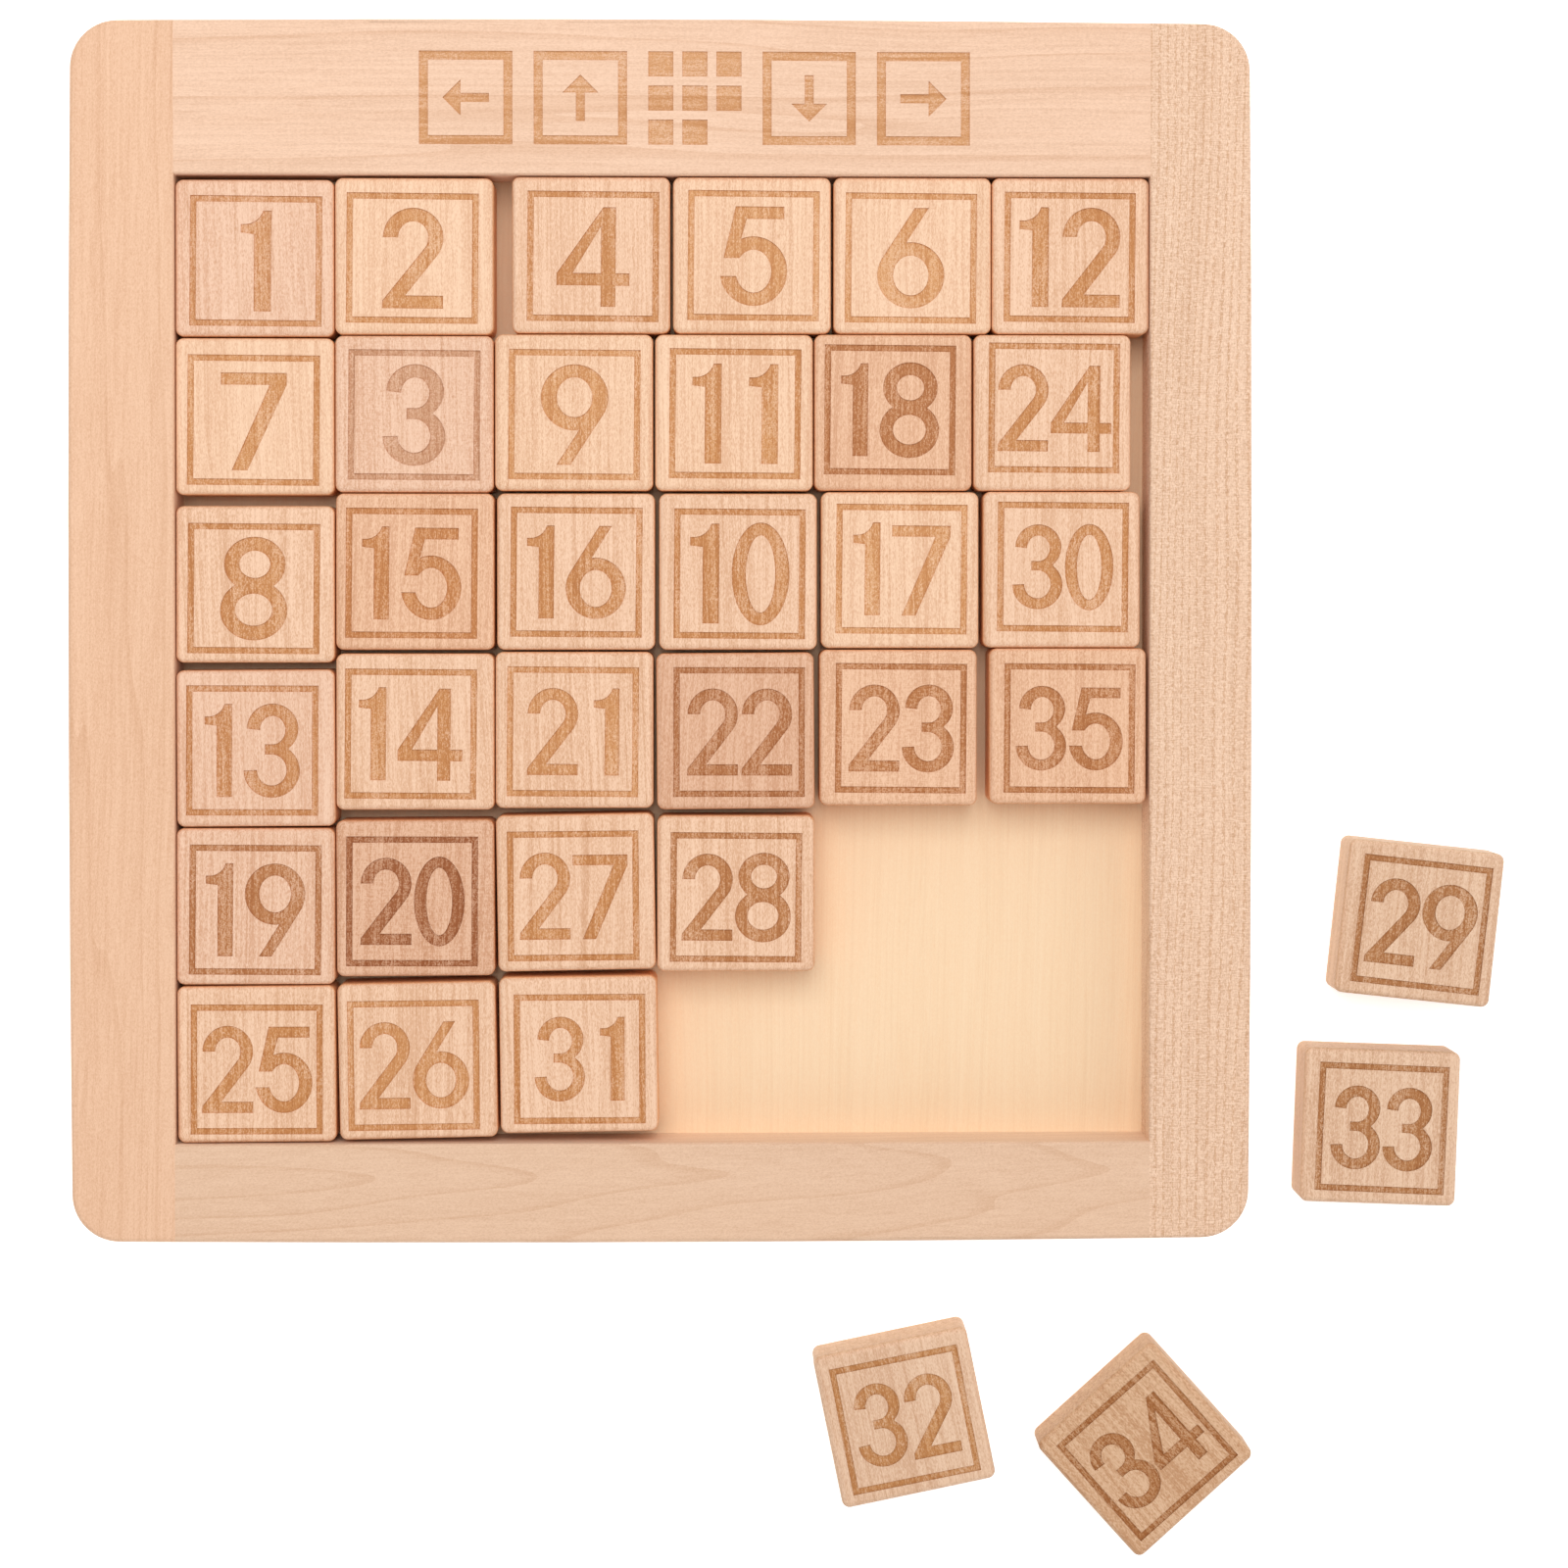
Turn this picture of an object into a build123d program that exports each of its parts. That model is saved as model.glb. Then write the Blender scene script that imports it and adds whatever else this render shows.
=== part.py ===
from build123d import *
import os

# A six by six number sliding puzzle in solid wood, with four of its tiles lying loose beside the tray.
# Millimetres. The origin is the middle of the tray's underside: +X to the right, +Y towards the top
# rail, +Z up. The table that everything stands on is z = 0.

# The tray's frame
TRAY_WIDTH = 224.0
TRAY_LENGTH = 231.6
RAIL_HEIGHT = 14.0
LEFT_RAIL_WIDTH = 20.0
RIGHT_RAIL_WIDTH = 19.5
TOP_RAIL_WIDTH = 29.5
BOTTOM_RAIL_WIDTH = 18.9
CORNER_RADIUS = 9.0
SIDE_BOW = 0.6
OUTER_EDGE_RADIUS = 0.9
INNER_EDGE_RADIUS = 0.5

# The floor panel, let into a pocket in the underside of the rails
PANEL_THICKNESS = 3.0
PANEL_LIP = 5.0

# The stub tenons that hold the top and bottom rails between the side rails
TENON_LENGTH = 8.0
TENON_THICKNESS = 4.5
TENON_SHOULDER = 4.0
TENON_BOTTOM = 5.5
MORTISE_END_GAP = 0.2

# The tiles
TILE_WIDTH = 29.9
TILE_DEPTH = 29.6
TILE_THICKNESS = 10.2
TILE_CORNER_RADIUS = 1.5
TILE_EDGE_RADIUS = 1.1

# The burnt engraving
ENGRAVING_DEPTH = 0.25
BORDER_WIDTH = 23.7
BORDER_DEPTH = 23.4
BORDER_LINE = 1.2
PRINT_TURN = -0.5
SINGLE_DIGIT_HEIGHT = 19.0
TEN_TO_TWELVE_HEIGHT = 18.9
TEENS_HEIGHT = 17.6
TWENTIES_HEIGHT = 16.5
THIRTIES_HEIGHT = 15.9
PAIR_NARROWING = 0.965
DIGIT_GAP = 0.03
ONE_GAP_BEFORE = 0.155
ONE_GAP_AFTER = 0.10

# The row of picture tiles engraved on the top rail
PICTURE_SIZE = 17.6
PICTURE_PITCH = 21.6
PICTURE_LINE = 1.7
PICTURE_ROW_X = 6.2
PICTURE_ROW_Y = 100.8

INNER_LEFT = -TRAY_WIDTH / 2 + LEFT_RAIL_WIDTH
INNER_RIGHT = TRAY_WIDTH / 2 - RIGHT_RAIL_WIDTH
INNER_TOP = TRAY_LENGTH / 2 - TOP_RAIL_WIDTH
INNER_BOTTOM = -TRAY_LENGTH / 2 + BOTTOM_RAIL_WIDTH

# The tiles in the tray, row by row. Each tile has its number, the gap on its left, the gap above it,
# its turn in degrees, and how far its engraving sits from its middle, across and up.
ROWS = [
    [
        (1, 0.15, 0.90, 0.0, 0.3, -0.6),
        (2, 0.15, 0.50, 0.0, -0.3, -0.4),
        (4, 3.50, 0.20, 0.0, 0.4, -0.3),
        (5, 0.55, 0.20, 0.0, 0.3, -0.1),
        (6, 0.50, 0.20, 0.0, -0.3, -0.5),
        (12, 0.15, 0.20, 0.0, -0.2, -0.3),
    ],
    [
        (7, 0.15, 0.30, 0.0, -0.2, -0.7),
        (3, 0.15, 0.20, 0.0, 0.0, -0.2),
        (9, 0.25, 0.20, 0.0, 0.1, -0.4),
        (11, 0.40, 0.20, 0.0, 0.2, -0.2),
        (18, 0.25, 0.15, 0.0, -0.6, 0.5),
        (24, 0.35, 0.15, 0.0, 0.3, 0.9),
    ],
    [
        (8, 0.15, 2.10, 0.0, -0.2, -0.8),
        (15, 0.25, 0.20, 0.0, -0.6, -0.3),
        (16, 0.50, 0.50, 0.0, 0.1, -0.1),
        (10, 0.80, 0.50, 0.0, 0.3, -0.4),
        (17, 0.80, 0.25, 0.0, 0.3, 0.2),
        (30, 0.85, 0.15, 0.0, 0.2, 0.5),
    ],
    [
        (13, 0.20, 1.40, 0.3, -0.6, -0.4),
        (14, 0.20, 0.70, 0.0, -0.8, -0.4),
        (21, 0.20, 0.40, 0.0, -0.3, -0.3),
        (22, 0.60, 0.60, 0.4, 0.7, -0.2),
        (23, 1.00, 0.30, 0.0, 0.5, -0.1),
        (35, 2.35, 0.15, 0.0, 0.3, -0.4),
    ],
    [
        (19, 0.15, 0.35, 0.0, 0.0, -0.6),
        (20, 0.25, 1.90, 0.3, -0.6, -0.6),
        (27, 0.45, 1.20, 1.0, -0.5, -0.6),
        (28, 0.45, 1.25, 0.0, 0.0, -0.7),
    ],
    [
        (25, 0.25, 0.30, 0.4, 0.1, -0.9),
        (26, 0.50, 1.25, 1.1, -0.7, -0.8),
        (31, 0.60, 1.15, 0.7, 0.2, -0.8),
    ],
]

# The loose tiles on the table: number, middle in x and y, turn, and the engraving's offset.
LOOSE_TILES = [
    (29, 145.0, -55.9, -6.2, 0.3, -0.2),
    (33, 137.5, -95.0, -2.2, 0.2, -0.2),
    (32, 46.2, -150.4, 11.6, 0.0, -0.3),
    (34, 92.4, -156.8, 42.0, 0.2, -0.2),
]


class Pen:
    """Draws a digit in units of its own height, its lower left corner at the origin."""

    def __init__(self, height, narrowing=1.0):
        self.height = height
        self.across = height * narrowing

    def point(self, x, y):
        return (x * self.across, y * self.height)

    def outline(self, *corners):
        return Polygon(*[self.point(x, y) for x, y in corners], align=None)

    def oval(self, x, y, radius_x, radius_y):
        return Pos(*self.point(x, y)) * Ellipse(radius_x * self.across, radius_y * self.height)

    def arc(self, x, y, radius_x, radius_y, start, end):
        """Part of an oval's edge, anticlockwise between two angles in degrees."""
        return EllipticalCenterArc(self.point(x, y), radius_x * self.across, radius_y * self.height,
                                   start_angle=start, arc_size=end - start)


def zero(pen):
    return pen.oval(0.30, 0.5, 0.30, 0.515) - pen.oval(0.30, 0.5, 0.152, 0.387)


def one(pen):
    straight = [(0.05, 0.865), (0.0, 0.865), (0.0, 0.78), (0.132, 0.765), (0.132, 0.0),
                (0.304, 0.0), (0.304, 1.0), (0.22, 1.0)]
    edges = Polyline(*[pen.point(x, y) for x, y in straight])
    flag = ThreePointArc(pen.point(0.22, 1.0), pen.point(0.155, 0.905), pen.point(0.05, 0.865))
    return make_face(edges + flag)


def two(pen):
    outer = pen.arc(0.315, 0.705, 0.30, 0.295, -37.5, 180)
    inner = pen.arc(0.315, 0.705, 0.15, 0.16, -37.5, 180)
    end = Polyline(outer @ 1, inner @ 1)
    foot = [(0.24, 0.129), (0.615, 0.129), (0.615, 0.0), (0.01, 0.0), (0.015, 0.079)]
    diagonal = Polyline(outer @ 0, *[pen.point(x, y) for x, y in foot], inner @ 0)
    return make_face([outer, inner, *end.edges(), *diagonal.edges()])


def three(pen):
    upper_outer = pen.arc(0.32, 0.735, 0.285, 0.27, -50, 180)
    upper_inner = pen.arc(0.32, 0.72, 0.14, 0.152, -90, 180)
    lower_outer = pen.arc(0.311, 0.284, 0.311, 0.29, -180, 52)
    lower_inner = pen.arc(0.311, 0.2915, 0.163, 0.1665, -180, 90)
    stub = Polyline(upper_inner @ 0, pen.point(0.235, 0.568), pen.point(0.235, 0.458), lower_inner @ 1)
    ends = [Polyline(upper_outer @ 1, upper_inner @ 1), Polyline(lower_inner @ 0, lower_outer @ 0)]
    waist = Polyline(lower_outer @ 1, upper_outer @ 0)
    edges = [upper_outer, upper_inner, lower_outer, lower_inner, *stub.edges(), *waist.edges()]
    for end in ends:
        edges += end.edges()
    return make_face(edges)


def four(pen):
    body = pen.outline((0.0, 0.21), (0.44, 0.21), (0.44, 0.0), (0.587, 0.0), (0.587, 0.21),
                       (0.724, 0.21), (0.724, 0.334), (0.587, 0.334), (0.587, 0.99), (0.46, 0.99),
                       (0.0, 0.33))
    return body - pen.outline((0.44, 0.80), (0.16, 0.334), (0.44, 0.334))


def five(pen):
    outer = pen.arc(0.336, 0.346, 0.336, 0.346, -171.5, 112)
    inner = pen.arc(0.336, 0.346, 0.176, 0.213, -166.1, 142.7)
    flag = [(0.265, 0.865), (0.638, 0.865), (0.638, 0.99), (0.154, 0.99), (0.036, 0.475)]
    arm = Polyline(outer @ 1, *[pen.point(x, y) for x, y in flag], inner @ 1)
    end = Polyline(inner @ 0, outer @ 0)
    return make_face([outer, inner, *arm.edges(), *end.edges()])


def six(pen):
    bowl = pen.arc(0.335, 0.329, 0.335, 0.329, -211, 98)
    stem = Polyline(bowl @ 0, pen.point(0.37, 1.0), pen.point(0.51, 1.0), bowl @ 1)
    return make_face([bowl, *stem.edges()]) - pen.oval(0.335, 0.327, 0.176, 0.198)


def seven(pen):
    return pen.outline((0.0, 0.97), (0.652, 0.97), (0.652, 0.85), (0.27, 0.0), (0.113, 0.0),
                       (0.484, 0.85), (0.0, 0.85))


def eight(pen):
    rings = pen.oval(0.341, 0.742, 0.304, 0.273) + pen.oval(0.3325, 0.285, 0.3325, 0.300)
    return rings - pen.oval(0.341, 0.741, 0.1525, 0.135) - pen.oval(0.3325, 0.29, 0.184, 0.159)


def nine(pen):
    return Pos(*pen.point(0.67, 1.0)) * Rot(0, 0, 180) * six(pen)


# Each digit with its width, in units of its height.
DIGITS = {
    "0": (zero, 0.60),
    "1": (one, 0.304),
    "2": (two, 0.615),
    "3": (three, 0.622),
    "4": (four, 0.724),
    "5": (five, 0.672),
    "6": (six, 0.67),
    "7": (seven, 0.652),
    "8": (eight, 0.665),
    "9": (nine, 0.67),
}


def digit_height(number):
    if number < 10:
        return SINGLE_DIGIT_HEIGHT
    if number < 13:
        return TEN_TO_TWELVE_HEIGHT
    if number < 20:
        return TEENS_HEIGHT
    if number < 30:
        return TWENTIES_HEIGHT
    return THIRTIES_HEIGHT


def number_faces(number):
    """The number's digits, side by side, centred on the origin."""
    text = str(number)
    height = digit_height(number)
    pen = Pen(height, PAIR_NARROWING if len(text) > 1 else 1.0)
    across = 0.0
    placed = []
    for place, digit in enumerate(text):
        draw, width = DIGITS[digit]
        if place > 0:
            across += DIGIT_GAP + (ONE_GAP_BEFORE if digit == "1" else 0.0)
        placed.append(Pos(*pen.point(across, 0.0)) * draw(pen))
        across += width + (ONE_GAP_AFTER if digit == "1" and place == 0 and len(text) > 1 else 0.0)
    middle = Pos(-across * pen.across / 2, -height / 2)
    return [middle * face for face in placed]


def border_face():
    outside = Rectangle(BORDER_WIDTH + BORDER_LINE, BORDER_DEPTH + BORDER_LINE)
    inside = Rectangle(BORDER_WIDTH - BORDER_LINE, BORDER_DEPTH - BORDER_LINE)
    return outside - inside


def engrave(solid, sketch, surface_height):
    """Sinks a flat drawing into the surface at the given height."""
    floor = Pos(0, 0, surface_height - ENGRAVING_DEPTH) * sketch
    return solid - extrude(floor, 2 * ENGRAVING_DEPTH, dir=(0, 0, 1))


def blank_tile():
    """A plain tile, its underside centred on the origin."""
    block = Box(TILE_WIDTH, TILE_DEPTH, TILE_THICKNESS, align=(Align.CENTER, Align.CENTER, Align.MIN))
    block = fillet(block.edges().filter_by(Axis.Z), TILE_CORNER_RADIUS)
    levels = block.edges().group_by(Axis.Z)
    return fillet(levels[0] + levels[-1], TILE_EDGE_RADIUS)


def numbered_tile(blank, number, shift_x, shift_y):
    placement = Pos(shift_x, shift_y) * Rot(0, 0, PRINT_TURN)
    tile = engrave(blank, placement * border_face(), TILE_THICKNESS)
    for face in number_faces(number):
        tile = engrave(tile, placement * face, TILE_THICKNESS)
    return tile


def tile_name(number):
    return "tile_%02d" % number


def tray_tiles():
    """Every tile in the tray, each against its neighbours: name to (number, x, y, turn, offset)."""
    places = {}
    bottoms = [INNER_TOP] * len(ROWS[0])
    for row in ROWS:
        left = INNER_LEFT
        for column, (number, gap_left, gap_above, turn, shift_x, shift_y) in enumerate(row):
            left += gap_left
            top = bottoms[column] - gap_above
            x = left + TILE_WIDTH / 2
            y = top - TILE_DEPTH / 2
            places[tile_name(number)] = (number, x, y, turn, shift_x, shift_y)
            left += TILE_WIDTH
            bottoms[column] = top - TILE_DEPTH
    return places


def build_tiles():
    blank = blank_tile()
    tiles = {}
    for name, (number, x, y, turn, shift_x, shift_y) in tray_tiles().items():
        tile = numbered_tile(blank, number, shift_x, shift_y)
        tiles[name] = Pos(x, y, PANEL_THICKNESS) * Rot(0, 0, turn) * tile
    for number, x, y, turn, shift_x, shift_y in LOOSE_TILES:
        tile = numbered_tile(blank, number, shift_x, shift_y)
        tiles[tile_name(number)] = Pos(x, y, 0) * Rot(0, 0, turn) * tile
    return tiles


def box_between(low, high):
    """A box given by its two opposite corners."""
    size = [b - a for a, b in zip(low, high)]
    middle = [(a + b) / 2 for a, b in zip(low, high)]
    return Pos(*middle) * Box(*size)


def tray_outline():
    """The tray's outline from above: its sides bow out slightly, and its corners are rounded."""
    half_width = TRAY_WIDTH / 2
    half_length = TRAY_LENGTH / 2
    corner_x = half_width - SIDE_BOW
    corner_y = half_length - SIDE_BOW
    top = ThreePointArc((-corner_x, corner_y), (0, half_length), (corner_x, corner_y))
    right = ThreePointArc((corner_x, corner_y), (half_width, 0), (corner_x, -corner_y))
    bottom = ThreePointArc((corner_x, -corner_y), (0, -half_length), (-corner_x, -corner_y))
    left = ThreePointArc((-corner_x, -corner_y), (-half_width, 0), (-corner_x, corner_y))
    return make_face([top, right, bottom, left])


def frame_blank():
    """The four rails as one ring, with its edges eased, before it is divided."""
    outside = extrude(tray_outline(), RAIL_HEIGHT, dir=(0, 0, 1))
    outside = fillet(outside.edges().filter_by(Axis.Z), CORNER_RADIUS)
    levels = outside.edges().group_by(Axis.Z)
    outside = fillet(levels[0] + levels[-1], OUTER_EDGE_RADIUS)
    opening = box_between((INNER_LEFT, INNER_BOTTOM, -1), (INNER_RIGHT, INNER_TOP, RAIL_HEIGHT + 1))
    ring = outside - opening
    rim = [edge for edge in ring.edges().group_by(Axis.Z)[-1] if on_opening(edge)]
    return fillet(rim, INNER_EDGE_RADIUS)


def on_opening(edge):
    """Whether an edge lies on the rim of the opening."""
    middle = edge.center()
    inside_x = INNER_LEFT - 0.01 <= middle.X <= INNER_RIGHT + 0.01
    inside_y = INNER_BOTTOM - 0.01 <= middle.Y <= INNER_TOP + 0.01
    return inside_x and inside_y


def panel_box():
    return box_between((INNER_LEFT - PANEL_LIP, INNER_BOTTOM - PANEL_LIP, 0),
                       (INNER_RIGHT + PANEL_LIP, INNER_TOP + PANEL_LIP, PANEL_THICKNESS))


def tenons(low_y, high_y, length):
    """The tenon at each end of a cross rail that spans the opening between low_y and high_y."""
    bottom = low_y + TENON_SHOULDER
    top = high_y - TENON_SHOULDER
    roof = TENON_BOTTOM + TENON_THICKNESS
    left = box_between((INNER_LEFT - length, bottom, TENON_BOTTOM), (INNER_LEFT, top, roof))
    right = box_between((INNER_RIGHT, bottom, TENON_BOTTOM), (INNER_RIGHT + length, top, roof))
    return [left, right]


def build_frame():
    ring = frame_blank() - panel_box()
    half_length = TRAY_LENGTH / 2
    half_width = TRAY_WIDTH / 2
    above = RAIL_HEIGHT + 1
    left = ring & box_between((-half_width - 1, -half_length - 1, -1), (INNER_LEFT, half_length + 1, above))
    right = ring & box_between((INNER_RIGHT, -half_length - 1, -1), (half_width + 1, half_length + 1, above))
    top = ring & box_between((INNER_LEFT, INNER_TOP - 1, -1), (INNER_RIGHT, half_length + 1, above))
    bottom = ring & box_between((INNER_LEFT, -half_length - 1, -1), (INNER_RIGHT, INNER_BOTTOM + 1, above))
    spans = {"top": (INNER_TOP, half_length), "bottom": (-half_length, INNER_BOTTOM)}
    for low_y, high_y in spans.values():
        left_mortise, right_mortise = tenons(low_y, high_y, TENON_LENGTH + MORTISE_END_GAP)
        left -= left_mortise
        right -= right_mortise
    for tenon in tenons(*spans["top"], TENON_LENGTH):
        top += tenon
    for tenon in tenons(*spans["bottom"], TENON_LENGTH):
        bottom += tenon
    top = engrave(top, Pos(PICTURE_ROW_X, PICTURE_ROW_Y) * picture_row(), RAIL_HEIGHT)
    return {
        "left_rail": left,
        "right_rail": right,
        "top_rail": top,
        "bottom_rail": bottom,
        "base_panel": panel_box(),
    }


def arrow_picture(turn):
    """A tile with an arrow on it, pointing right and then turned."""
    tip = PICTURE_SIZE / 2 - 2.6 * PICTURE_LINE
    head = 3.4
    frame = Rectangle(PICTURE_SIZE, PICTURE_SIZE)
    frame -= Rectangle(PICTURE_SIZE - 2 * PICTURE_LINE, PICTURE_SIZE - 2 * PICTURE_LINE)
    shaft = Pos(-head / 2, 0) * Rectangle(2 * tip - head, PICTURE_LINE)
    point = Polygon((tip, 0), (tip - head, head), (tip - head, -head), align=None)
    return Rot(0, 0, turn) * (frame + shaft + point)


def grid_picture():
    """Nine places with eight small tiles, the last one empty."""
    pitch = (PICTURE_SIZE + PICTURE_LINE) / 3
    tile = pitch - PICTURE_LINE
    squares = Sketch()
    for row in range(3):
        for column in range(3):
            if (row, column) != (2, 2):
                squares += Pos((column - 1) * pitch, (1 - row) * pitch) * Rectangle(tile, tile)
    return squares


def picture_row():
    """Five engraved pictures: an empty-place puzzle with the four ways a tile can slide beside it."""
    pictures = [arrow_picture(180), arrow_picture(90), grid_picture(), arrow_picture(-90), arrow_picture(0)]
    row = Sketch()
    for place, picture in enumerate(pictures):
        row += Pos((place - 2) * PICTURE_PITCH, 0) * picture
    return row


os.makedirs("parts", exist_ok=True)
nodes = {**build_frame(), **build_tiles()}
for name, shape in nodes.items():
    export_step(shape, "parts/" + name + ".step")
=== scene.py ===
import math
import random
import bpy
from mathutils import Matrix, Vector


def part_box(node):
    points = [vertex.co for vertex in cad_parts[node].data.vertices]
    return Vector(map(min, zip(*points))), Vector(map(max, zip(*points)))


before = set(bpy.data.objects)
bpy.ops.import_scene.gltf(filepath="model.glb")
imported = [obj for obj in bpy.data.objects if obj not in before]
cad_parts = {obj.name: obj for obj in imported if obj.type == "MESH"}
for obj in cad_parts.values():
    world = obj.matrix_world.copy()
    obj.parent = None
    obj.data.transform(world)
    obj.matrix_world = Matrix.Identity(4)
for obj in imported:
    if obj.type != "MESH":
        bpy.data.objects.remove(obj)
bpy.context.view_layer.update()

MM = 0.001

# The camera looks almost straight down at the tray. Place in millimetres, tilt in degrees.
CAMERA_PLACE = (10.7, 7.2, 582.1)
CAMERA_TILT = (-0.567, -1.106, 0.0)
CAMERA_LENS = 68.94
CAMERA_SHIFT = (0.0046, -0.1023)
SENSOR_WIDTH = 36.0
NEAREST_SEEN = 10 * MM

# What the sky and the key lamp put on a level surface, as multiples of what shows white. The lamp's place
# and size are in metres.
WORLD_LIGHT = 0.61
WORLD_COLOUR = (0.98, 0.97, 0.96)
KEY_LIGHT = 0.58
KEY_COLOUR = (0.96, 0.975, 0.985)
KEY_PLACE = (-0.08, 0.43, 1.18)
KEY_SIZE = 0.85

# Softboxes stand all round, so the sky is bright part way up and dim overhead, where the camera hangs.
# Heights run from 0 at the horizon to 1 overhead. Such a sky gives a level surface WORLD_SHARE of what an
# even sky would, and is a little brighter on the side that WORLD_LEAN points to.
SKY_RISES = (0.05, 0.40)
SKY_FALLS = (0.72, 0.93)
SKY_OVERHEAD = 0.12
WORLD_SHARE = 0.664
WORLD_LEAN = (0.35, -0.15, 0.0)

# The table: a white sheet that glows a little, so that it shows pure white. Metres.
FLOOR_REACH = 3.0
FLOOR_LEVEL = -0.05 * MM
FLOOR_WHITE = 0.95
FLOOR_ROUGHNESS = 0.9
FLOOR_SPECULAR = 0.1
FLOOR_GLOW = 0.5

# The wood's surface: a dull sanded finish with a fine raised grain.
WOOD_ROUGHNESS = 0.50
WOOD_SPECULAR = 0.2
BUMP_STRENGTH = 0.35
BUMP_HEIGHT = 0.05 * MM

# The light on the wood, and the share of it that the sheen sends back uncoloured. The tones below are
# colours as seen, and wood_colour frees them of both.
EVEN_LIGHT = 1.05
SHEEN = 0.02

# How deep the burnt engraving is cut. Metres.
ENGRAVING_DEPTH = 0.25 * MM

# The layers of noise that make the grain and the burn: cycles in a millimetre across, along and through
# the board, then the detail and roughness of the noise.
LAYERS = {
    "wander": ((0.03, 0.012, 0.03), 1.0, 0.4),
    "broad": ((0.14, 0.010, 0.14), 1.0, 0.5),
    "stripe": ((1.45, 0.020, 1.45), 1.0, 0.6),
    "fibre": ((3.1, 0.14, 3.1), 2.0, 0.8),
    "thread": ((2.3, 0.012, 2.3), 1.0, 0.5),
    "fine": ((5.0, 1.6, 5.0), 1.0, 0.6),
    "uneven": ((0.10, 0.004, 0.10), 1.0, 0.5),
    "pore": ((3.6, 0.50, 3.6), 1.0, 0.5),
    "dash": ((4.2, 1.3, 4.2), 1.0, 0.7),
    "speckle": ((3.8, 2.8, 3.8), 2.0, 0.75),
    "fleck": ((0.60, 4.4, 0.8), 2.0, 0.6),
    "patch": ((0.16, 0.10, 0.16), 3.0, 0.7),
    "raster": ((3.0, 5.5, 3.0), 2.0, 0.7),
}

# Ramps, as Graph.between takes them: from what value to what value they run, and onto what.
# The layers that only leave dark marks.
THREAD_RAMP = (0.53, 0.60)
PORE_RAMP = (0.60, 0.70)
DASH_RAMP = (0.40, 0.56)
# The layers that lighten as well as darken.
SPECKLE_RAMP = (0.36, 0.66, -0.5, 0.5)
FLECK_RAMP = (0.40, 0.62, -0.5, 0.5)
# A growth ring, from 0 at its start to 1 at its end: it darkens slowly and ends in a thin late line.
RING_RAMP = (0.1, 0.9, 0.0, 0.2)
LATE_LINE_RAMP = (0.82, 0.96, 0.0, 0.8)
# The rows that the dashes stand in, from the sine across them. Between the rows a few dashes stay.
ROW_RAMP = (0.40, 0.98, 0.32, 1.0)
# The burn's strength: broad patches, the laser's fine raster, and the wood's own grain.
PATCH_RAMP = (0.3, 0.7, 0.76, 1.12)
RASTER_RAMP = (0.36, 0.64, -0.24, 0.24)
BURNT_GRAIN_RAMP = (0.10, 0.70, -0.26, 0.32)
# How upright a face is, from the upward share of its normal: where the painted light and shade of the
# upright faces go.
UPRIGHT_RAMP = (0.25, 0.75, 1.0, 0.0)

# How far the lines wander sideways, in millimetres, and how many rings they wander by.
WANDER_REACH = (5.0, 0.0, 5.0)
RING_WANDER = 3.0

# The dashes' rows: radians in a millimetre across the board, and the radians they wander by.
ROW_STEP = 3.9
ROW_WANDER = 16.0

# The tone that the grain moves about, from 0 for pale to 1 for deep, and what each layer adds to it.
MIDDLE_TONE = 0.41
TONE_WEIGHTS = {"fibre": 1.5, "fine": 3.3, "stripe": 1.9, "broad": 1.0}
SPECKLE_WEIGHT = 0.55
FLECK_WEIGHT = 0.45

# How dark each kind of mark is, and what the darkest does to the wood's red, green and blue.
MARK_WEIGHTS = {"ring": 0.44, "pores": 0.50, "threads": 0.22, "dashes": 0.75}
MARK_COLOUR = (0.81, 0.71, 0.62, 1.0)

# How much of the tone and of the marks shows in the burn.
BURNT_TONE = 0.6
BURNT_MARKS = 0.5

# How a face is known to be the engraving's: as shares of the engraving's depth, where its floor and its
# walls lie, and as upward shares of the normal, what counts as level and as a wall.
FLOOR_DEPTHS = (0.6, 1.4)
WALL_DEPTHS = (0.05, 1.08)
LEVEL_FACE = 0.93
WALL_FACE = 0.3

# How a piece is cut from its board: the most it is turned, in degrees, and the most it lies along the
# board from the middle, in millimetres.
CUT_TURN = 1.5
CUT_PLACE = 900.0

# Wood tones as seen in even light: a pale and a deep colour that the grain moves between.
TONES = {
    "cream": ((252, 213, 183), (232, 186, 152)),
    "honey": ((254, 216, 184), (236, 190, 156)),
    "pink": ((249, 210, 183), (230, 182, 151)),
    "tan": ((248, 204, 171), (228, 178, 144)),
    "rose": ((240, 196, 166), (218, 166, 133)),
    "sand": ((244, 209, 180), (222, 180, 149)),
    "brown": ((232, 193, 159), (206, 159, 122)),
    "top rail": ((250, 212, 184), (234, 194, 165)),
    "bottom rail": ((241, 205, 176), (226, 187, 157)),
    "left rail": ((247, 205, 173), (231, 184, 150)),
    "right rail": ((253, 219, 192), (228, 189, 159)),
    "panel": ((254, 225, 190), (250, 215, 176)),
}

# What the burn does to the wood's red, green and blue.
BURNS = {
    "faint": (0.71, 0.575, 0.46),
    "light": (0.75, 0.55, 0.325),
    "even": (0.70, 0.485, 0.26),
    "dark": (0.60, 0.395, 0.215),
    "deep": (0.49, 0.285, 0.15),
}

# What the wood's colour is multiplied by on upright faces, which differ from the tops, as painted light and
# shade:
# painted shade on the tiles in the tray and on the loose tiles, and painted light on the rails.
# Painted shade: the tray tiles' sides darker and warmer than their tops, for the shade in the gaps between
# tiles.
TILE_SIDE_PAINTED_SHADE = (1.02, 0.82, 0.60)
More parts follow.
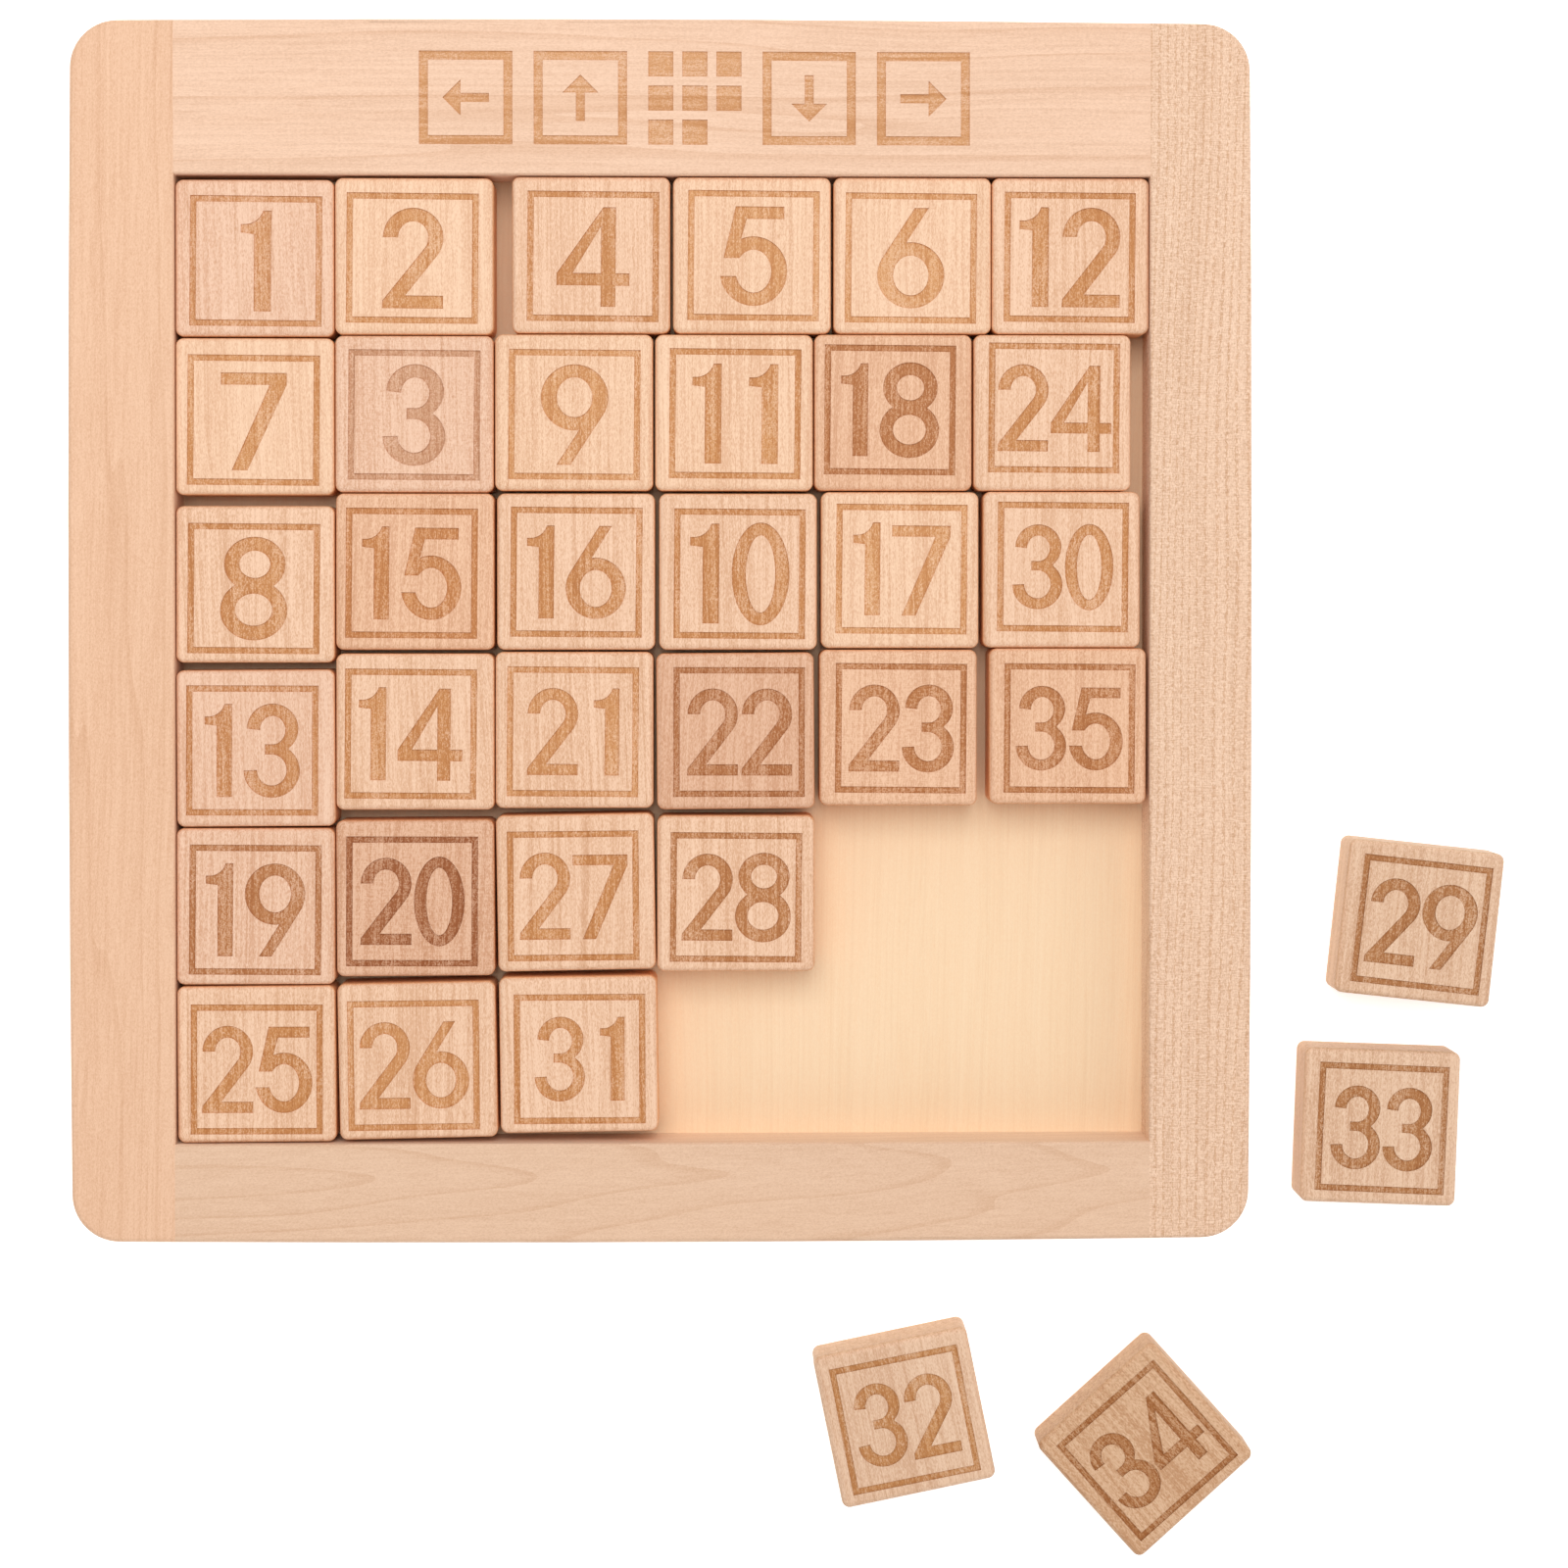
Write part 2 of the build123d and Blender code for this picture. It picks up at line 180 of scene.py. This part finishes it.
# Painted shade: the loose tiles' sides darker and less warm than their tops.
LOOSE_SIDE_PAINTED_SHADE = (0.85, 0.83, 0.75)
# Painted light: the rails' upright walls paler than their tops, as if lit more strongly.
RAIL_WALL_PAINTED_LIGHT = (1.12, 1.24, 1.34)
SAME_AS_TOP = (1.0, 1.0, 1.0)

# The loose tiles and how far each is turned, so that the grain turns with it. Degrees.
LOOSE_TURNS = {29: -6.2, 33: -2.2, 32: 11.6, 34: 42.0}

# What the tiles' boards vary between. Ring sizes and distances in millimetres.
TILE_STREAKS = (0.8, 1.1)
TILE_RING_WIDTH = (2.2, 4.2)
TILE_PORES = (0.4, 0.9)
TILE_RING_SIDE = (15, 80)
TILE_RING_BELOW = (10, 45)

# The dashes of a tile: some on any, and more with its speckle.
TILE_DASHES = 0.15
TILE_DASHES_PER_SPECKLE = 0.6

# Each tile's tone, its burn, and how strongly it shows rings, speckle and cross flecks.
TILE_LOOKS = {
    1: ("pink", "light", 0.5, 0.4, 0.2),
    2: ("honey", "even", 0.3, 0.1, 0.0),
    3: ("pink", "faint", 0.9, 0.8, 0.7),
    4: ("cream", "even", 0.5, 0.4, 0.0),
    5: ("honey", "light", 0.5, 0.4, 0.0),
    6: ("honey", "light", 0.6, 0.0, 0.0),
    7: ("honey", "even", 0.6, 0.1, 0.0),
    8: ("cream", "even", 0.5, 0.2, 0.0),
    9: ("honey", "light", 0.4, 0.9, 0.1),
    10: ("cream", "even", 0.7, 0.2, 0.0),
    11: ("honey", "even", 0.7, 0.2, 0.0),
    12: ("cream", "even", 0.6, 0.3, 0.0),
    13: ("pink", "even", 0.6, 0.3, 0.0),
    14: ("cream", "even", 0.9, 0.5, 0.0),
    15: ("tan", "even", 0.4, 0.4, 0.1),
    16: ("cream", "even", 0.7, 0.4, 0.1),
    17: ("honey", "light", 0.3, 0.1, 0.0),
    18: ("tan", "dark", 0.3, 0.6, 0.1),
    19: ("pink", "dark", 0.7, 0.7, 0.0),
    20: ("rose", "deep", 0.5, 0.5, 0.9),
    21: ("cream", "light", 0.9, 0.6, 0.0),
    22: ("rose", "dark", 0.8, 0.1, 0.1),
    23: ("tan", "dark", 0.4, 0.3, 1.0),
    24: ("cream", "even", 0.5, 0.4, 0.1),
    25: ("cream", "even", 0.8, 0.7, 0.0),
    26: ("cream", "light", 0.9, 0.2, 0.0),
    27: ("cream", "even", 1.0, 0.3, 0.1),
    28: ("cream", "dark", 1.0, 0.5, 0.0),
    29: ("sand", "dark", 0.5, 1.0, 0.2),
    30: ("cream", "even", 0.6, 0.2, 0.0),
    31: ("cream", "even", 0.7, 0.2, 0.0),
    32: ("sand", "even", 0.8, 0.3, 0.0),
    33: ("sand", "dark", 0.5, 0.6, 0.3),
    34: ("brown", "dark", 0.6, 0.5, 0.1),
    35: ("tan", "dark", 0.3, 1.0, 0.2),
}


def linear(channel):
    """One 0 to 255 display value as linear light."""
    share = channel / 255
    return share / 12.92 if share <= 0.04045 else ((share + 0.055) / 1.055) ** 2.4


def wood_colour(display):
    """The wood's own colour, from how it shows in even light."""
    return tuple((linear(channel) - SHEEN) / EVEN_LIGHT for channel in display) + (1.0,)


class Graph:
    """A node tree, with short calls for the nodes that the materials are made of."""

    def __init__(self, tree):
        self.tree = tree

    def node(self, kind, inputs=(), **settings):
        made = self.tree.nodes.new(kind)
        for key, value in settings.items():
            setattr(made, key, value)
        for key, value in dict(inputs).items():
            self.feed(made.inputs[key], value)
        return made

    def feed(self, socket, value):
        if isinstance(value, bpy.types.NodeSocket):
            self.tree.links.new(value, socket)
        else:
            socket.default_value = value

    def math(self, operation, first, second=0.0, clamp=False):
        made = self.node("ShaderNodeMath", {0: first, 1: second}, operation=operation, use_clamp=clamp)
        return made.outputs[0]

    def vector_math(self, operation, first, second, output=0):
        made = self.node("ShaderNodeVectorMath", {0: first, 1: second}, operation=operation)
        return made.outputs[output]

    def part(self, vector, index):
        """One of a vector's three numbers."""
        return self.node("ShaderNodeSeparateXYZ", {0: vector}).outputs[index]

    def noise(self, vector, layer, output="Fac"):
        scales, detail, roughness = LAYERS[layer]
        inputs = {
            "Vector": self.vector_math("MULTIPLY", vector, scales),
            "Scale": 1.0,
            "Detail": detail,
            "Roughness": roughness,
        }
        return self.node("ShaderNodeTexNoise", inputs).outputs[output]

    def between(self, value, low, high, to_low=0.0, to_high=1.0):
        """Maps low to high onto to_low to to_high, smoothly, and holds it there outside."""
        inputs = {"Value": value, "From Min": low, "From Max": high, "To Min": to_low, "To Max": to_high}
        return self.node("ShaderNodeMapRange", inputs, interpolation_type="SMOOTHSTEP").outputs[0]

    def inside(self, value, low, high):
        """One where the value lies between low and high, and nought elsewhere."""
        above = self.math("GREATER_THAN", value, low)
        return self.math("MULTIPLY", above, self.math("LESS_THAN", value, high))

    def weighted(self, parts):
        """The sum of pairs of a value and its weight, each pair multiplied."""
        total = 0.0
        for value, weight in parts:
            total = self.math("ADD", total, self.math("MULTIPLY", value, weight))
        return total

    def tint(self, amount, colour, tint):
        """The colour multiplied by the tint, as far as the amount says."""
        inputs = {0: amount, 6: colour, 7: tint}
        return self.node("ShaderNodeMix", inputs, data_type="RGBA", blend_type="MULTIPLY").outputs[2]

    def mix(self, amount, first, second):
        return self.node("ShaderNodeMix", {0: amount, 6: first, 7: second}, data_type="RGBA").outputs[2]


def new_group(name, inputs, outputs):
    """An empty node group with its sockets, and the graph, input node and output node to fill it."""
    tree = bpy.data.node_groups.new(name, "ShaderNodeTree")
    for label, kind in inputs:
        tree.interface.new_socket(label, in_out="INPUT", socket_type=kind)
    for label, kind in outputs:
        tree.interface.new_socket(label, in_out="OUTPUT", socket_type=kind)
    graph = Graph(tree)
    return tree, graph, graph.node("NodeGroupInput"), graph.node("NodeGroupOutput")


def wandering(graph, place):
    """The place moved slowly sideways, which keeps the lines from being ruler straight."""
    wander = graph.noise(place, "wander", output="Color")
    wander = graph.vector_math("SUBTRACT", wander, (0.5, 0.5, 0.5))
    wander = graph.vector_math("MULTIPLY", wander, WANDER_REACH)
    return graph.vector_math("ADD", place, wander)


def growth_rings(graph, bent, ring_width, uneven):
    """Rings round an axis along Y: each ends in a thin dark late line."""
    across = graph.part(bent, 0)
    through = graph.part(bent, 2)
    squares = graph.weighted([(across, across), (through, through)])
    count = graph.math("DIVIDE", graph.math("SQRT", squares), ring_width)
    count = graph.math("FRACT", graph.math("ADD", count, graph.math("MULTIPLY", uneven, RING_WANDER)))
    return graph.math("ADD", graph.between(count, *LATE_LINE_RAMP), graph.between(count, *RING_RAMP))


def dashes_in_rows(graph, bent, uneven):
    """Short dark dashes along the grain, strongest in rows side by side."""
    phase = graph.weighted([(graph.part(bent, 0), ROW_STEP), (uneven, ROW_WANDER)])
    rows = graph.between(graph.math("SINE", phase), *ROW_RAMP)
    return graph.math("MULTIPLY", graph.between(graph.noise(bent, "dash"), *DASH_RAMP), rows)


def build_wood_group():
    """Close-grained pale hardwood whose grain runs along Y of a vector in millimetres."""
    number = "NodeSocketFloat"
    colour = "NodeSocketColor"
    strengths = ["Streaks", "Rings", "Ring width", "Pores", "Speckle", "Flecks", "Dashes"]
    inputs = [("Vector", "NodeSocketVector"), ("Pale", colour), ("Deep", colour)]
    inputs += [(label, number) for label in strengths]
    outputs = [("Color", colour), ("Grain", number), ("Height", number)]
    tree, graph, given, result = new_group("hardwood", inputs, outputs)
    place = given.outputs["Vector"]
    streaks = given.outputs["Streaks"]
    bent = wandering(graph, place)
    fine = graph.noise(bent, "fine")
    uneven = graph.noise(bent, "uneven")

    layers = {name: fine if name == "fine" else graph.noise(bent, name) for name in TONE_WEIGHTS}
    parts = [(graph.math("SUBTRACT", layers[name], 0.5), weight) for name, weight in TONE_WEIGHTS.items()]
    speckle = graph.between(graph.noise(place, "speckle"), *SPECKLE_RAMP)
    speckle = graph.math("MULTIPLY", speckle, given.outputs["Speckle"])
    flecks = graph.between(graph.noise(place, "fleck"), *FLECK_RAMP)
    flecks = graph.math("MULTIPLY", flecks, given.outputs["Flecks"])
    lines = graph.weighted(parts)
    tone = graph.weighted([(lines, streaks), (speckle, SPECKLE_WEIGHT), (flecks, FLECK_WEIGHT)])
    tone = graph.math("ADD", tone, MIDDLE_TONE, clamp=True)
    body = graph.mix(tone, given.outputs["Pale"], given.outputs["Deep"])

    shapes = {
        "ring": (growth_rings(graph, bent, given.outputs["Ring width"], uneven), given.outputs["Rings"]),
        "pores": (graph.between(graph.noise(bent, "pore"), *PORE_RAMP), given.outputs["Pores"]),
        "threads": (graph.between(graph.noise(bent, "thread"), *THREAD_RAMP), streaks),
        "dashes": (dashes_in_rows(graph, bent, uneven), given.outputs["Dashes"]),
    }
    parts = [(graph.math("MULTIPLY", *shapes[name]), weight) for name, weight in MARK_WEIGHTS.items()]
    marks = graph.math("ADD", graph.weighted(parts), 0.0, clamp=True)

    graph.feed(result.inputs["Color"], graph.tint(marks, body, MARK_COLOUR))
    grain = graph.weighted([(tone, BURNT_TONE), (marks, BURNT_MARKS)])
    grain = graph.math("ADD", grain, 0.0, clamp=True)
    graph.feed(result.inputs["Grain"], grain)
    graph.feed(result.inputs["Height"], fine)
    return tree


def build_burn_group():
    """Where a surface is the floor or the wall of the engraving, and how strong the burn is there."""
    number = "NodeSocketFloat"
    inputs = [("Top", number), ("Vector", "NodeSocketVector"), ("Grain", number)]
    outputs = [("Mask", number), ("Strength", number)]
    tree, graph, given, result = new_group("burn", inputs, outputs)
    place = graph.node("ShaderNodeTexCoord")
    facing = graph.part(place.outputs["Normal"], 2)
    depth = graph.math("SUBTRACT", given.outputs["Top"], graph.part(place.outputs["Object"], 2))
    floor = graph.inside(depth, *[share * ENGRAVING_DEPTH for share in FLOOR_DEPTHS])
    wall = graph.inside(depth, *[share * ENGRAVING_DEPTH for share in WALL_DEPTHS])
    floor = graph.math("MULTIPLY", graph.math("GREATER_THAN", facing, LEVEL_FACE), floor)
    wall = graph.math("MULTIPLY", graph.math("LESS_THAN", facing, WALL_FACE), wall)
    graph.feed(result.inputs["Mask"], graph.math("ADD", floor, wall, clamp=True))

    patches = graph.between(graph.noise(given.outputs["Vector"], "patch"), *PATCH_RAMP)
    raster = graph.between(graph.noise(given.outputs["Vector"], "raster"), *RASTER_RAMP)
    grain = graph.between(given.outputs["Grain"], *BURNT_GRAIN_RAMP)
    graph.feed(result.inputs["Strength"], graph.math("ADD", graph.math("ADD", patches, raster), grain))
    return tree


WOOD = build_wood_group()
BURN = build_burn_group()


def board_place(graph, node, draws, along, turn, ring_side, ring_below, lean):
    """A piece's own place in its board: millimetres, Y along the grain, and the heart at the origin."""
    low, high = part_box(node)
    middle = tuple((near + far) / 2 for near, far in zip(low, high))
    place = graph.vector_math("SUBTRACT", graph.node("ShaderNodeTexCoord").outputs["Object"], middle)
    quarter = 90.0 if along == "X" else 0.0
    angle = math.radians(quarter - turn + draws.uniform(-CUT_TURN, CUT_TURN))
    to_millimetres = (1 / MM, 1 / MM, 1 / MM)
    turned = {"Vector": place, "Rotation": (0.0, 0.0, angle), "Scale": to_millimetres}
    turned = graph.node("ShaderNodeMapping", turned).outputs[0]
    tilted = {"Vector": turned, "Rotation": (math.radians(lean), 0.0, 0.0)}
    tilted = graph.node("ShaderNodeMapping", tilted).outputs[0]
    side = ring_side * draws.choice((-1, 1))
    slid = 0.0 if lean else draws.uniform(-CUT_PLACE, CUT_PLACE)
    return graph.vector_math("ADD", tilted, (side, slid, ring_below))


def paint_upright_shading(graph, colour, upright_light_and_shade):
    """The colour, tinted on faces that stand upright: painted light and shade on them."""
    facing = graph.part(graph.node("ShaderNodeTexCoord").outputs["Normal"], 2)
    upright = graph.between(graph.math("ABSOLUTE", facing), *UPRIGHT_RAMP)
    return graph.tint(upright, colour, upright_light_and_shade + (1.0,))


def tint_burnt(graph, colour, burn, node, board, grain):
    """The colour, tinted on the walls and floor of the engraving in the node's top."""
    inputs = {"Top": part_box(node)[1][2], "Vector": board, "Grain": grain}
    burnt = graph.node("ShaderNodeGroup", node_tree=BURN)
    for label, value in inputs.items():
        graph.feed(burnt.inputs[label], value)
    amount = graph.math("MULTIPLY", burnt.outputs["Mask"], burnt.outputs["Strength"])
    return graph.tint(amount, colour, BURNS[burn] + (1.0,))


# The upright faces of each piece take painted light and shade from the last argument.
def wood_material(name, node, tone, seed, along="Y", turn=0.0, streaks=1.0, rings=0.5, ring_width=2.6,
                  pores=0.6, speckle=0.2, flecks=0.0, dashes=0.1, ring_side=60.0, ring_below=18.0, lean=0.0,
                  burn=None, upright_light_and_shade=SAME_AS_TOP):
    """One piece of wood: its own cut from its own board, so no two pieces share a grain."""
    material = bpy.data.materials.new(name)
    material.use_nodes = True
    graph = Graph(material.node_tree)
    graph.tree.nodes.clear()
    board = board_place(graph, node, random.Random(seed), along, turn, ring_side, ring_below, lean)
    pale, deep = TONES[tone]
    wood = graph.node("ShaderNodeGroup", node_tree=WOOD)
    inputs = {
        "Vector": board,
        "Pale": wood_colour(pale),
        "Deep": wood_colour(deep),
        "Streaks": streaks,
        "Rings": rings,
        "Ring width": ring_width,
        "Pores": pores,
        "Speckle": speckle,
        "Flecks": flecks,
        "Dashes": dashes,
    }
    for label, value in inputs.items():
        graph.feed(wood.inputs[label], value)
    colour = paint_upright_shading(graph, wood.outputs["Color"], upright_light_and_shade)
    if burn:
        colour = tint_burnt(graph, colour, burn, node, board, wood.outputs["Grain"])
    raised = {"Strength": BUMP_STRENGTH, "Distance": BUMP_HEIGHT, "Height": wood.outputs["Height"]}
    surface = {
        "Base Color": colour,
        "Roughness": WOOD_ROUGHNESS,
        "Specular IOR Level": WOOD_SPECULAR,
        "Normal": graph.node("ShaderNodeBump", raised).outputs[0],
    }
    shader = graph.node("ShaderNodeBsdfPrincipled", surface)
    graph.node("ShaderNodeOutputMaterial", {"Surface": shader.outputs[0]})
    return material


def dress(node, material):
    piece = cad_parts[node]
    piece.data.materials.clear()
    piece.data.materials.append(material)


def dress_top_rail():
    dress("top_rail", wood_material(
        "top_rail_wood", "top_rail", "top rail", 101, along="X", streaks=0.6, rings=0.9, ring_width=4.5,
        pores=0.3, speckle=0.5, flecks=0.3, ring_side=20.0, ring_below=30.0, burn="light", upright_light_and_shade=RAIL_WALL_PAINTED_LIGHT))


def dress_bottom_rail():
    """The heart runs close by at a slant, which draws long arches on the rail's top."""
    dress("bottom_rail", wood_material(
        "bottom_rail_wood", "bottom_rail", "bottom rail", 102, along="X", streaks=0.4, rings=0.75,
        ring_width=3.2, pores=0.15, speckle=0.9, ring_side=3.0, ring_below=4.0, lean=5.0, upright_light_and_shade=RAIL_WALL_PAINTED_LIGHT))


def dress_left_rail():
    dress("left_rail", wood_material(
        "left_rail_wood", "left_rail", "left rail", 103, streaks=0.5, rings=0.7, ring_width=3.4, pores=0.3,
        speckle=0.8, ring_side=9.0, ring_below=12.0, lean=1.5, upright_light_and_shade=RAIL_WALL_PAINTED_LIGHT))


def dress_right_rail():
    """This rail shows rows of short dashes and cross flecks, and no rings."""
    dress("right_rail", wood_material(
        "right_rail_wood", "right_rail", "right rail", 104, streaks=0.45, rings=0.0, ring_width=2.2,
        pores=0.3, speckle=1.3, flecks=1.6, dashes=2.0, upright_light_and_shade=RAIL_WALL_PAINTED_LIGHT))


def dress_panel():
    dress("base_panel", wood_material(
        "plywood", "base_panel", "panel", 105, streaks=0.4, rings=0.1, ring_width=7.0, pores=0.1,
        speckle=0.3, dashes=0.0, ring_side=16.0, ring_below=40.0))


def dress_tiles():
    for number, (tone, burn, rings, speckle, flecks) in TILE_LOOKS.items():
        node = "tile_%02d" % number
        draws = random.Random(number * 7)
        dress(node, wood_material(
            node + "_wood", node, tone, number, turn=LOOSE_TURNS.get(number, 0.0),
            streaks=draws.uniform(*TILE_STREAKS), rings=rings, ring_width=draws.uniform(*TILE_RING_WIDTH),
            pores=draws.uniform(*TILE_PORES), speckle=speckle, flecks=flecks,
            dashes=TILE_DASHES + TILE_DASHES_PER_SPECKLE * speckle,
            ring_side=draws.uniform(*TILE_RING_SIDE), ring_below=draws.uniform(*TILE_RING_BELOW), burn=burn,
            upright_light_and_shade=LOOSE_SIDE_PAINTED_SHADE if number in LOOSE_TURNS else TILE_SIDE_PAINTED_SHADE))


def build_floor():
    mesh = bpy.data.meshes.new("floor")
    signs = ((-1, -1), (1, -1), (1, 1), (-1, 1))
    corners = [(x * FLOOR_REACH, y * FLOOR_REACH, FLOOR_LEVEL) for x, y in signs]
    mesh.from_pydata(corners, [], [(0, 1, 2, 3)])
    floor = bpy.data.objects.new("floor", mesh)
    bpy.context.collection.objects.link(floor)
    material = bpy.data.materials.new("floor_white")
    material.use_nodes = True
    shader = material.node_tree.nodes["Principled BSDF"]
    shader.inputs["Base Color"].default_value = (FLOOR_WHITE, FLOOR_WHITE, FLOOR_WHITE, 1.0)
    shader.inputs["Roughness"].default_value = FLOOR_ROUGHNESS
    shader.inputs["Specular IOR Level"].default_value = FLOOR_SPECULAR
    shader.inputs["Emission Color"].default_value = (1.0, 1.0, 1.0, 1.0)
    shader.inputs["Emission Strength"].default_value = FLOOR_GLOW
    mesh.materials.append(material)


def build_sky():
    world = bpy.data.worlds.new("studio")
    world.use_nodes = True
    background = world.node_tree.nodes["Background"]
    background.inputs["Color"].default_value = WORLD_COLOUR + (1.0,)
    graph = Graph(world.node_tree)
    direction = graph.node("ShaderNodeTexCoord").outputs["Generated"]
    height = graph.part(direction, 2)
    lean = graph.vector_math("DOT_PRODUCT", direction, WORLD_LEAN, output="Value")
    rises = graph.between(height, *SKY_RISES)
    falls = graph.between(height, *SKY_FALLS, 1.0, SKY_OVERHEAD)
    boxes = graph.math("MULTIPLY", graph.math("MULTIPLY", rises, falls), graph.math("ADD", lean, 1.0))
    strength = graph.math("MULTIPLY", boxes, WORLD_LIGHT / WORLD_SHARE)
    graph.feed(background.inputs["Strength"], strength)
    bpy.context.scene.world = world


def build_key_lamp():
    key = bpy.data.lights.new("key", "AREA")
    key.shape = "SQUARE"
    key.size = KEY_SIZE
    key.color = KEY_COLOUR
    x, y, z = KEY_PLACE
    distance = math.dist(KEY_PLACE, (0, 0, 0))
    # Light on the level is power x cosine / (pi x distance^2), and white shows at pi.
    key.energy = KEY_LIGHT * math.pi * math.pi * distance ** 3 / z
    lamp = bpy.data.objects.new("key", key)
    lamp.location = KEY_PLACE
    lamp.rotation_euler = (math.atan2(math.hypot(x, y), z), 0.0, math.atan2(x, -y))
    bpy.context.collection.objects.link(lamp)


def build_camera():
    data = bpy.data.cameras.new("camera")
    data.lens = CAMERA_LENS
    data.sensor_width = SENSOR_WIDTH
    data.shift_x, data.shift_y = CAMERA_SHIFT
    data.clip_start = NEAREST_SEEN
    camera = bpy.data.objects.new("camera", data)
    camera.location = [value * MM for value in CAMERA_PLACE]
    camera.rotation_euler = [math.radians(value) for value in CAMERA_TILT]
    bpy.context.collection.objects.link(camera)
    bpy.context.scene.camera = camera


dress_top_rail()
dress_bottom_rail()
dress_left_rail()
dress_right_rail()
dress_panel()
dress_tiles()
build_floor()
build_sky()
build_key_lamp()
build_camera()
bpy.context.scene.view_settings.view_transform = "Standard"
